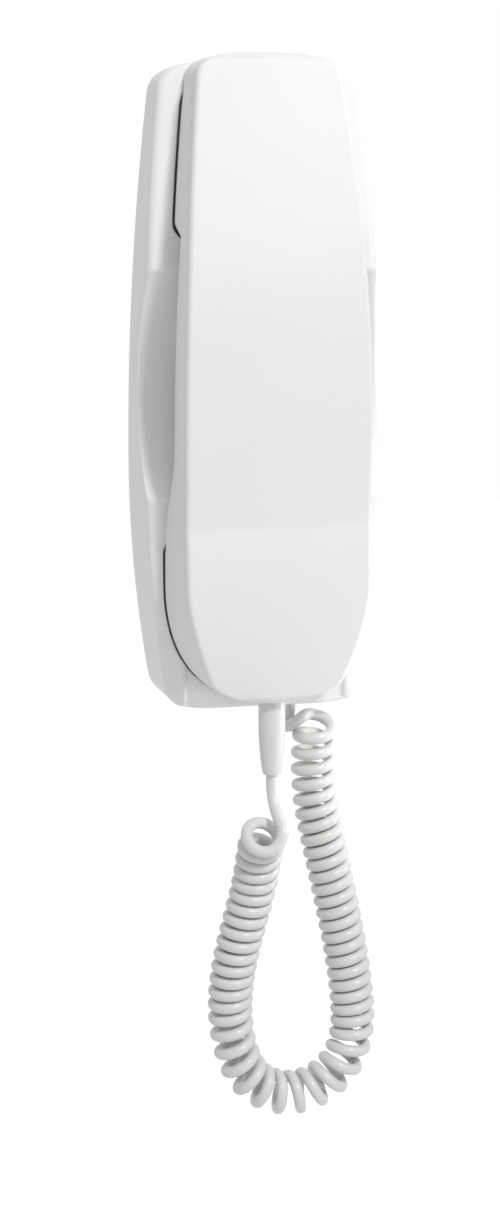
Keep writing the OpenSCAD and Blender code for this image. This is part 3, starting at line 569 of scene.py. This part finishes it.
def base_section(z):
    """Section of the cover: side, rim, lip of the pocket or hollow, and the pocket's floor."""
    w, f = base_outline(z, 0), base_face(z)
    x = w - DRAFT * f
    r = min(rim_radius(z), 0.4 * x)
    inner = x - 1.05 * r
    notch = z <= NOTCH_TOP
    step = min(notch_depth(z), f) if notch else f
    if notch:
        # At the bottom corners the rim runs out into the hollow
        f = mix(f, step, ease((NOTCH_HALF - inner + 0.2) / 3))
    p = min(max(raised_half(z, GAP), 0.3 * inner), inner - 0.4)
    if in_ear(z, GAP):
        floor = EAR_FLOOR
    elif in_mouth(z, GAP):
        floor = MOUTH_FLOOR
    else:
        # The lip above and below a pocket is rounded too
        ends = (EAR_LOW - GAP, EAR_TOP + GAP, MOUTH_LOW - GAP, MOUTH_TOP + GAP)
        floor = step - edge_drop(LIP_R - min(abs(z - e) for e in ends), LIP_R)
    nx = min(NOTCH_HALF, inner - 0.2) if notch else mix(p, inner, 0.5)
    p = min(p, nx - 0.3)
    outside = rounded(
        [
            (w, 0, 0, 1),
            (w - DRAFT * 0.5 * f, 0.5 * f, 0, 1),
            (x, f, r, 9),
            (nx, f, 0.9, 5),
            (nx - (0.5 if notch else 0.05), step, 0.8, 4),
            (p, step, LIP_R, 5),
            (p - 0.4, floor, 0.6, 4),
            (0.6 * p, floor, 0, 1),
            (0.25 * p, floor, 0, 1),
        ]
    )
    if z < COVER_CAP - BASE_LOW or z > BASE_TOP - COVER_CAP:
        inside = [(k * w, 0.3) for k in (0.9, 0.7, 0.5, 0.3)]
    else:
        wi, d = base_outline(z, WALL), base_inside(z)
        inside = [
            (wi, 0),
            (wi - DRAFT * (d - 1), d - 1),
            (wi - DRAFT * d - 0.3, d - 0.3),
            (wi - DRAFT * d - 1, d),
        ]
    return ring_of(outside, inside, z)


def cover_cutters():
    """Openings of the cover: hook, door button, cord gland, two screws and the sounder's slots."""
    through_d = 40
    slot_x, slot_pitch, slot_w, slot_h = -18, 3.4, 1.6, 12
    cutters = [
        hole(0, HOOK_Z, [(12, 3.9), (through_d, 3.9)]),
        hole(0, BUTTON_Z, [(6, 6.9), (through_d, 6.9)]),
        upright_hole(GLAND_X, GLAND_AT, -BASE_LOW - 2, -BASE_LOW + WALL + 3, 3.45),
    ]
    for z in (MOUTH_LOW + 10, EAR_TOP - 9):
        cutters.append(hole(0, z, [(3, 3.0), (through_d, 3.0)]))
    for i in range(-2, 3):
        x = slot_x + slot_pitch * i
        cutters.append(slot_cutter(x, SCOOP_Z + 6, slot_w, slot_h, 6, through_d))
    return cutters


def build_base_cover():
    tip = 0.997 * (1 - np.linspace(0, 1, 15) ** 2.2)
    low_corner, top_corner = -BASE_LOW + LOW_CORNER, BASE_TOP - TOP_CORNER
    low_cap, top_cap = -BASE_LOW + COVER_CAP, BASE_TOP - COVER_CAP
    mouth_wall, ear_wall = MOUTH_TOP + GAP + WALL, EAR_LOW - GAP - WALL
    zs = heights(
        -BASE_LOW + LOW_CORNER * (1 - tip),
        BASE_TOP - TOP_CORNER * (1 - tip),
        np.linspace(low_corner, top_corner, 150),
        [low_cap - 0.1, low_cap + 0.001, top_cap - 0.001, top_cap + 0.1],
        [e + s for e in (MOUTH_LOW - GAP, EAR_LOW - GAP) for s in LIP_STEPS],
        [e - s for e in (MOUTH_TOP + GAP, EAR_TOP + GAP) for s in LIP_STEPS],
        [NOTCH_TOP - 0.05, NOTCH_TOP + 0.05],
        [e + SCOOP_EDGE_R * s for e in (STEP, SCOOP_LOW) for s in (-1, -0.5, 0, 0.5, 1)],
        [mouth_wall + 0.001, mouth_wall + 0.1],
        [ear_wall - 0.1, ear_wall - 0.001],
    )
    cover = add_shell("cover_shell", [base_section(z) for z in zs], base_white)
    cut(cover, cover_cutters())
    finish_mesh(cover, SHELL_SMOOTH_DEG)
    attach(cover, "base")
    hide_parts("base_cover")


# Handset

LEAN_Z, LEAN_SLOPE, LEAN_SOFT, WAIST = 32.0, 0.26, 20.0, 1.4
CREST_Z, CREASE_R, CROWN = CHIN_Z - 2, 1.3, 0.45
BACK_LIP, GRIP_EDGE_R, RAISED_EDGE_R, RAISED_END_R = 1.2, 3.5, 2.5, 1.2


def upper_front(z):
    """The front leans back towards the top, and is a little lower towards the crease."""
    t = z - LEAN_Z
    lean = LEAN_SLOPE * (math.sqrt(t * t + LEAN_SOFT * LEAN_SOFT) + t) / 2
    return FRONT_D - lean - WAIST * (min(z, 0) / CREASE) ** 2


def lower_front(z):
    """Below the crease the front bulges, and rolls back to the chin."""
    t = (z - CREST_Z) / (CREASE - CREST_Z)
    return upper_front(CREASE) + 0.675 * BULGE * (1 - t**2)


def sharp_front(z):
    return upper_front(z) if z > CREASE else lower_front(z)


def front_depth(z):
    """The crease is a small hollow radius."""
    r = CREASE_R
    if abs(z - CREASE) < r:
        t = (z - CREASE + r) / (2 * r)
        a, b, c = sharp_front(CREASE - r), sharp_front(CREASE), sharp_front(CREASE + r)
        return (1 - t) ** 2 * a + 2 * t * (1 - t) * b + t * t * c
    return sharp_front(z)


def lid_face(z):
    """The front with its rounded ends."""
    top, low = edge_drop(z - HANDSET_TOP + LID_R, LID_R), edge_drop(LID_LOW - z + LID_R, LID_R)
    return front_depth(z) - 0.9 * (top + low)


def lid_section(z):
    """Section of the front cover, slightly crowned across."""
    w, f, s = rim_outline(z, 0, 0), lid_face(z), sharp_front(z) - LID_H + SEAM
    r = min(LID_R, f - s - 0.25, 0.45 * w)
    flat, rise = w - 1.6 * r, 0.05
    outside = rounded(
        [(w - 0.25, s, 0, 1), (w, s + 0.25, 0, 1), (w, f, r, 11), (flat, f + rise, 0, 1)]
    )
    outside += [(k * flat, f + rise + CROWN * (1 - k * k)) for k in (0.85, 0.7, 0.5, 0.3, 0.1)]
    if z > HANDSET_TOP - LID_CAP or z < LID_LOW + LID_CAP:
        inside = [(k * w, s + 0.3) for k in (0.9, 0.6, 0.3)]
    else:
        wi, d = rim_outline(z, 0, SHELL), sharp_front(z) - SHELL
        inside = [(wi, s), (wi - 0.1, d - 0.6), (wi - 0.7, d)]
    return ring_of([tuple(p) for p in outside], inside, z)


def cap_heights():
    """Heights on both sides of the places where the handset's shells get solid."""
    top, low = HANDSET_TOP - LID_CAP, LID_LOW + LID_CAP
    return [top - 0.001, top + 0.1, low + 0.001, low - 0.1]


def build_lid():
    zs = heights(
        tip_heights(HANDSET_TOP, TOP_ZONE, 1),
        tip_heights(LID_LOW, CHIN_CORNER, -1, 30),
        np.linspace(LID_LOW + CHIN_CORNER, CHIN_Z, 26),
        np.linspace(CHIN_Z, HANDSET_TOP - TOP_ZONE, 120),
        np.linspace(CREASE - 2, CREASE + 2, 21),
        cap_heights(),
    )
    lid = add_shell("front_shell", [lid_section(z) for z in zs], shell_white)
    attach(lid, "handset")
    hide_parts("handset_front")


def side_edge(z):
    """Depth of the back cover's lower side edge."""
    grip = GRIP_D + GRIP_EDGE_R + 0.5
    ear_z = EAR_LOW + 5
    if z > ear_z:
        return face_depth(z) + BACK_LIP
    if z > 0:
        return mix(face_depth(ear_z) + BACK_LIP, grip, ease((ear_z - z) / 6))
    edge = mix(LOWER_D + BACK_LIP, grip, ease((z - MOUTH_TOP - 6) / 18))
    return edge - max(SCOOP_LOW - z, 0) * LOWER_RAKE


def back_edge_r(z):
    """The back's edge is rounded along the grip only."""
    return mix(0.3, GRIP_EDGE_R, ease((EAR_LOW - 2 - z) / 6) * ease((z - MOUTH_TOP - 9) / 16))


def back_depth(z, plain, grow):
    """Depth of the back: of the ear part, the mouth part, or the plain back between them."""
    return EAR_BACK if in_ear(z, grow) else MOUTH_BACK if in_mouth(z, grow) else plain


def back_section(z):
    """Section of the back cover: seam, side edge, and the grip's back or a raised part."""
    q = 0.0
    if z <= LID_LOW + 0.5:
        q = 0.9 * limit((LID_LOW + 0.5 - z) / (CHIN_BACK - CHIN_FRONT + 0.5))
    k, s = side_edge(z), sharp_front(z) - LID_H
    knee, rim = knee_outline(z, 0), rim_outline(z, q, 0)
    raised = in_ear(z, 0) or in_mouth(z, 0)
    near = in_ear(z, 0.3) or in_mouth(z, 0.3)
    w = min(0.985 * knee, raised_half(z, 0)) if near else 0.985 * knee
    plain = k - 0.5 - back_edge_r(z)
    b = back_depth(z, plain, 0)
    if raised:
        # Rounds the two ends of the raised part
        away = min(abs(z - e) for e in (EAR_LOW, EAR_TOP, MOUTH_LOW, MOUTH_TOP))
        b = min(b + edge_drop(RAISED_END_R - away, RAISED_END_R), plain)
    r = RAISED_EDGE_R if raised else back_edge_r(z) + 0.2
    top = mix(s, k, q)
    soft = 0.35 * min(1, w / 8)
    outside = rounded(
        [
            (rim - soft, top, 0, 1),
            (rim, top - soft, 0.3, 3),
            (knee, k, 1.0, 6),
            (w, k - 0.4, 0.5, 4),
            (0.985 * w, b, min(r, 0.4 * w), 8),
            (0.7 * w, b, 0, 1),
            (0.35 * w, b, 0, 1),
        ]
    )
    if z > HANDSET_TOP - LID_CAP or z < LID_LOW + LID_CAP:
        inside = [(t * rim, top - 0.3) for t in (0.9, 0.7, 0.5, 0.3)]
    else:
        hollow = in_ear(z, -SHELL) or in_mouth(z, -SHELL)
        d = SHELL + back_depth(z, plain, -SHELL)
        ki = knee_outline(z, SHELL)
        wi = 0.985 * (min(ki, raised_half(z, -SHELL)) if hollow else ki)
        inside = [
            (rim_outline(z, 0, SHELL), s),
            (ki, k + SHELL),
            (wi, min(k + SHELL - 0.5, d + 1)),
            (wi - 1, d),
        ]
    return ring_of([tuple(p) for p in outside], inside, z)


def back_cutters():
    """Openings of the back cover: ear and mouth holes, two screw holes and the cord's sleeve."""
    ear_z, mic_z = (EAR_LOW + EAR_TOP) / 2, MOUTH_LOW + 24
    ear_hole = [(EAR_BACK - 1, 1.1), (EAR_BACK + 3, 1.1)]
    mic_hole = [(MOUTH_BACK - 1, 0.9), (MOUTH_BACK + 3, 0.9)]
    head_low = GRIP_D + 0.9
    screw_hole = [(GRIP_D - 2, 2.7), (head_low, 2.7), (head_low + 0.01, 1.5), (GRIP_D + 3, 1.5)]
    cutters = []
    for radius, count in ((0, 1), (5, 6), (10, 12)):
        for i in range(count):
            a = 2 * math.pi * (i + 1) / count
            x, z = radius * math.cos(a), ear_z + radius * math.sin(a)
            cutters.append(hole(x, z, ear_hole, 20))
    cutters += [hole(x, mic_z, mic_hole, 18) for x in (-5, 0, 5)]
    cutters += [hole(0, z, screw_hole) for z in (28, -28)]
    sleeve_r = SLEEVE_D / 2 + 0.15
    cutters.append(
        upright_hole(0, SLEEVE_AT, -HANDSET_LOW - 3, -HANDSET_LOW + SHELL + 5, sleeve_r)
    )
    return cutters


def build_back():
    ends = (-0.25, -0.02, 0.02, 0.15, 0.35, 0.6, 0.9, 1.3)
    ends += (SHELL - 0.1, SHELL + 0.001, 2.8, 3.8, 5)
    zs = heights(
        tip_heights(HANDSET_TOP, TOP_ZONE, 1),
        tip_heights(-HANDSET_LOW, CHIN_BACK, -1, 44),
        tip_heights(LID_LOW, CHIN_CORNER, -1, 16),
        np.linspace(CHIN_Z, HANDSET_TOP - TOP_ZONE, 120),
        cap_heights(),
        [e + s for e in (MOUTH_LOW, EAR_LOW) for s in ends],
        [e - s for e in (MOUTH_TOP, EAR_TOP) for s in ends],
        least=0.03,
    )
    back = add_shell("back_shell", [back_section(z) for z in zs], shell_white)
    cut(back, back_cutters())
    finish_mesh(back, SHELL_SMOOTH_DEG)
    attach(back, "handset")
    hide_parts("handset_back")


# Curly cord: points are (x, depth, z), those of a lead from the place where it goes in

COIL_ROUTE = [
    (-3.6, 62, -142.5),
    (-4, 43.5, -145.5),
    (-4.2, 35.5, -153.5),
    (-5, 31, -170),
    (-11.5, 28, -194),
    (-13.5, 24.5, -219),
    (-6.5, 23.5, -245),
    (15.5, 21.5, -251.5),
    (33.5, 21, -237),
    (32.5, 19.5, -211),
    (28, 18, -185.5),
    (22.5, 18, -160.5),
    (18, 16.5, -139),
    (18.8, 18.5, -115),
    (18.8, 29, -95),
]
HANDSET_LEAD = [(0, 0, 0), (0, 0, -4), (0.3, 2, -9.5), (1, 6.5, -14)]
BASE_LEAD = [
    (2.9, 8, -4.3),
    (0.1, 9, -6),
    (-2.1, 7.2, -8),
    (-2.4, 4, -8.7),
    (-1.2, 1.1, -7.1),
    (0, 0, -3.4),
    (0, 0, 0),
]
# Pitch of the curls at places along the coil
CURL_PITCH = [
    (0, 8.6),
    (6, 8),
    (13, 5.4),
    (24, 4.6),
    (72, 4.5),
    (84, 6.6),
    (145, 6.6),
    (158, 4.5),
    (228, 4.55),
    (244, 5.3),
    (254, 5.9),
    (264, 6.6),
]
FIRST_TURN, LAST_TURN = 90.0, 10.0
AXIS_STEPS, CURL_POINTS, CORD_SIDES, SLEEVE_RINGS = 48, 24, 14, 4
LEAD_REACH, LEAD_FADE, LEAD_HELD, LEAD_ROUNDS = 29, 6, 1, 10


def through(points, i, t):
    """A point between points i and i + 1 on the smooth line through all of them."""
    n = len(points) - 1
    a, b, c, d = points[max(i - 1, 0)], points[i], points[i + 1], points[min(i + 2, n)]
    square = 2 * a - 5 * b + 4 * c - d
    cube = 3 * b - a - 3 * c + d
    return 0.5 * (2 * b + (c - a) * t + square * t * t + cube * t**3)


def coil_axis():
    """Middle line of the coil: a smooth curve drawn by its route's points."""
    route = np.array([(x, -d, z) for x, d, z in COIL_ROUTE], float)
    axis = []
    for i in range(len(route) - 3):
        for k in range(AXIS_STEPS):
            t = k / AXIS_STEPS
            weights = (
                (1 - t) ** 3,
                3 * t**3 - 6 * t * t + 4,
                -3 * t**3 + 3 * t * t + 3 * t + 1,
                t**3,
            )
            axis.append(sum(w * p for w, p in zip(weights, route[i : i + 4])) / 6)
    axis.append((route[-3] + 4 * route[-2] + route[-1]) / 6)
    return np.array(axis)


def run_along(line):
    """Length along a line at each of its points."""
    return np.concatenate([[0], np.cumsum(np.linalg.norm(np.diff(line, axis=0), axis=1))])


def curl_line():
    """The curls, wound round the coil's middle line in a whole number of turns."""
    axis = coil_axis()
    length = run_along(axis)
    pitch = np.interp((length[1:] + length[:-1]) / 2, *zip(*CURL_PITCH))
    turn = np.concatenate([[0], np.cumsum(360 * np.diff(length) / pitch)])
    curls = round((turn[-1] + FIRST_TURN - LAST_TURN) / 360)
    total = 360 * curls + LAST_TURN - FIRST_TURN
    turn = turn * total / turn[-1] + FIRST_TURN
    tangent = np.gradient(axis, axis=0)
    tangent /= np.linalg.norm(tangent, axis=1)[:, None]
    r = (COIL_D - WIRE_D) / 2
    count = round(CURL_POINTS * total / 360)
    curl = []
    for k in range(count + 1):
        a = FIRST_TURN + total * k / count
        centre = np.array([np.interp(a, turn, axis[:, c]) for c in range(3)])
        along = np.array([np.interp(a, turn, tangent[:, c]) for c in range(3)])
        along /= np.linalg.norm(along)
        back = np.array((0, 1, 0)) - along[1] * along
        back /= np.linalg.norm(back)
        side = np.cross(along, back)
        angle = math.radians(a)
        curl.append(centre + r * (math.cos(angle) * back + math.sin(angle) * side))
    return curl


def cord_line():
    """Middle line of the cord from the sleeve to the gland: a lead, the curls and a lead."""
    curl = curl_line()
    eighth = CURL_POINTS // 8
    lead_in = [np.array((x, -SLEEVE_AT - d, SLEEVE_END + z), float) for x, d, z in HANDSET_LEAD]
    lead_in += [curl[0], curl[eighth]]
    lead_out = [curl[-1 - eighth], curl[-1]]
    for x, d, z in BASE_LEAD:
        lead_out.append(np.array((GLAND_X + x, -GLAND_AT - d, GLAND_END + z), float))
    line = [mix(lead_in[0], lead_in[1], k / 4) for k in range(4)]
    line += [through(lead_in, i, k / 8) for i in (1, 2, 3) for k in range(8)]
    line += curl
    for i in range(1, len(lead_out) - 2):
        line += [through(lead_out, i, k / 6) for k in range(1, 7)]
    line += [mix(lead_out[-2], lead_out[-1], k / 4) for k in range(1, 5)]
    return soft_leads(np.array(line))


def soft_leads(line):
    """The two leads bend softly into the first and last curl."""
    run = run_along(line)
    from_end = np.minimum(run, run[-1] - run)
    weight = np.clip((LEAD_REACH - from_end) / LEAD_FADE, 0, 1)
    weight *= np.clip((from_end - LEAD_HELD) / 2, 0, 1)
    for _ in range(LEAD_ROUNDS):
        line[1:-1] += 0.25 * weight[1:-1, None] * (line[:-2] - 2 * line[1:-1] + line[2:])
    return line


def tube_mesh(line, diameter, sides):
    """A closed tube whose rings follow a line without twisting."""
    tangent = np.gradient(line, axis=0)
    tangent /= np.linalg.norm(tangent, axis=1)[:, None]
    side = np.array((1.0, 0, 0))
    points = []
    for p, t in zip(line, tangent):
        side = side - (side @ t) * t
        side /= np.linalg.norm(side)
        other = np.cross(t, side)
        for a in full_turn(sides):
            points.append(p + diameter / 2 * (math.cos(a) * side + math.sin(a) * other))
    return points, loft_faces(len(line), sides)


def build_cord():
    line = cord_line()
    points, faces = tube_mesh(line, JACKET_D, CORD_SIDES)
    cord = add_object("coiled_cord", points, faces, cord_white, CORD_SMOOTH_DEG)
    run = run_along(line)
    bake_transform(cord)
    # A share of the handset's way for each point, falling evenly along the cord and 1 on the
    # sleeve's rings; nothing uses it
    share = np.repeat(1 - run / run[-1], CORD_SIDES)
    share[: CORD_SIDES * SLEEVE_RINGS] = 1.0
    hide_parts("curly_cord")


def build_sleeve():
    """A tapered sleeve with a flange that is held inside the handset."""
    tip, body, flange_r = (WIRE_D + 2.2) / 2, SLEEVE_D / 2, SLEEVE_D / 2 + 1.5
    flange_low = LID_LOW + SHELL + 0.8
    flange_top = flange_low + 2
    corners = [
        (0.05, SLEEVE_END, 0, 1),
        (tip, SLEEVE_END, 0.5, 6),
        (tip + 0.5, SLEEVE_END + 2, 2, 4),
        (body, SLEEVE_END + 12, 8, 10),
        (body, flange_low, 0.2, 2),
        (flange_r, flange_low, 0.3, 3),
        (flange_r, flange_top, 0.3, 3),
        (0.05, flange_top, 0, 1),
    ]
    sleeve = lathe("strain_sleeve", rounded(corners), 0, -SLEEVE_AT, cord_white)
    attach(sleeve, "handset")
    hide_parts("cord_sleeve")


build_cord()
build_sleeve()
build_base_cover()
build_lid()
build_back()


# The pieces that keep their solids get their finish

finishes = {
    "wall_plate": plate_white,
    "cover_screws": screw_steel,
    "main_board": solder_green,
    "board_screws": screw_steel,
    "terminal_block": black_plastic,
    "terminal_screws": screw_steel,
    "call_sounder": black_plastic,
    "line_chip": black_plastic,
    "board_capacitors": black_plastic,
    "hook_switch": black_plastic,
    "hook_plunger": base_white,
    "hook_spring": screw_steel,
    "door_switch": black_plastic,
    "door_button": button_grey,
    "door_switch_stem": button_grey,
    "cord_gland": plate_white,
    "handset_screws": screw_steel,
    "balance_weight": weight_steel,
    "receiver_capsule": plate_white,
    "receiver_gasket": black_rubber,
    "microphone_capsule": screw_steel,
    "microphone_boot": black_rubber,
}
for name, material in finishes.items():
    piece = nodes[name]
    piece.data.materials.clear()
    piece.data.materials.append(material)


# Floor, world and lamps, in metres

FLOOR_HALF, FLOOR_Z, FLOOR_GLOW = 6, -0.9, 0.5
FLOOR_COLOR, FLOOR_TINT = (0.88, 0.88, 0.88), (0.9, 0.9, 0.9)
SKY_LIGHT, SKY_SHOWN = 0.56, 1.0


def shown_rays(tree):
    """1 for the rays that show a surface to the eye, straight, in a mirror or through glass."""
    path = tree.nodes.new("ShaderNodeLightPath")
    shown = path.outputs["Is Camera Ray"]
    for name in ("Is Glossy Ray", "Is Transmission Ray"):
        either = tree.nodes.new("ShaderNodeMath")
        either.operation = "MAXIMUM"
        tree.links.new(shown, either.inputs[0])
        tree.links.new(path.outputs[name], either.inputs[1])
        shown = either.outputs[0]
    return shown


def build_floor():
    """A pale floor well below the object, which looks as white as the world behind it."""
    material, tree, shader = new_material("floor", FLOOR_COLOR, 0.8)
    mottle = spread(tree, noise(tree, 3.0), 0.0, 1.0)
    tones = two_tones(tree, mottle, FLOOR_COLOR, FLOOR_TINT)
    tree.links.new(tones, shader.inputs["Base Color"])
    shader.inputs["Emission Color"].default_value = (1, 1, 1, 1)
    glow = spread(tree, shown_rays(tree), 0.0, FLOOR_GLOW, 0.0, 1.0)
    tree.links.new(glow, shader.inputs["Emission Strength"])
    corners = [(-1, -1), (1, -1), (1, 1), (-1, 1)]
    mesh = bpy.data.meshes.new("floor")
    mesh.from_pydata(
        [(FLOOR_HALF * x, FLOOR_HALF * y, FLOOR_Z) for x, y in corners], [], [(0, 1, 2, 3)]
    )
    mesh.materials.append(material)
    floor = bpy.data.objects.new("floor", mesh)
    scene.collection.objects.link(floor)


def background(sky, strength):
    node = sky.nodes.new("ShaderNodeBackground")
    node.inputs["Color"].default_value = (1, 1, 1, 1)
    node.inputs["Strength"].default_value = strength
    return node.outputs[0]


def build_world():
    """A white studio that lights the object less than it shows."""
    world = bpy.data.worlds.new("studio")
    scene.world = world
    world.use_nodes = True
    sky = world.node_tree
    sky.nodes.clear()
    chosen = sky.nodes.new("ShaderNodeMixShader")
    sky.links.new(shown_rays(sky), chosen.inputs["Fac"])
    sky.links.new(background(sky, SKY_LIGHT), chosen.inputs[1])
    sky.links.new(background(sky, SKY_SHOWN), chosen.inputs[2])
    output = sky.nodes.new("ShaderNodeOutputWorld")
    sky.links.new(chosen.outputs[0], output.inputs["Surface"])


def area_lamp(name, place, target, width, height, power, spread_deg=180.0):
    """An elliptical lamp that the camera doesn't see."""
    data = bpy.data.lights.new(name, "AREA")
    data.shape = "ELLIPSE"
    data.size = width
    data.size_y = height
    data.energy = power
    data.spread = math.radians(spread_deg)
    lamp = bpy.data.objects.new(name, data)
    scene.collection.objects.link(lamp)
    lamp.location = place
    lamp.rotation_euler = (Vector(target) - Vector(place)).to_track_quat("-Z", "Y").to_euler()
    lamp.visible_camera = False


build_floor()
build_world()
area_lamp("key", (0.63, -1.83, 1.71), (0, 0, -0.03), 0.36, 0.36, 33)
# Two small lamps at the right wash out that side of the object, as in the photo
area_lamp("side", (0.16, -0.014, 0.14), (0.03, -0.02, 0.08), 0.05, 0.08, 0.05)
area_lamp("right", (0.16, -0.046, -0.12), (0.03, -0.026, -0.1), 0.04, 0.08, 0.025, 70.0)

scene.view_settings.view_transform = "Standard"
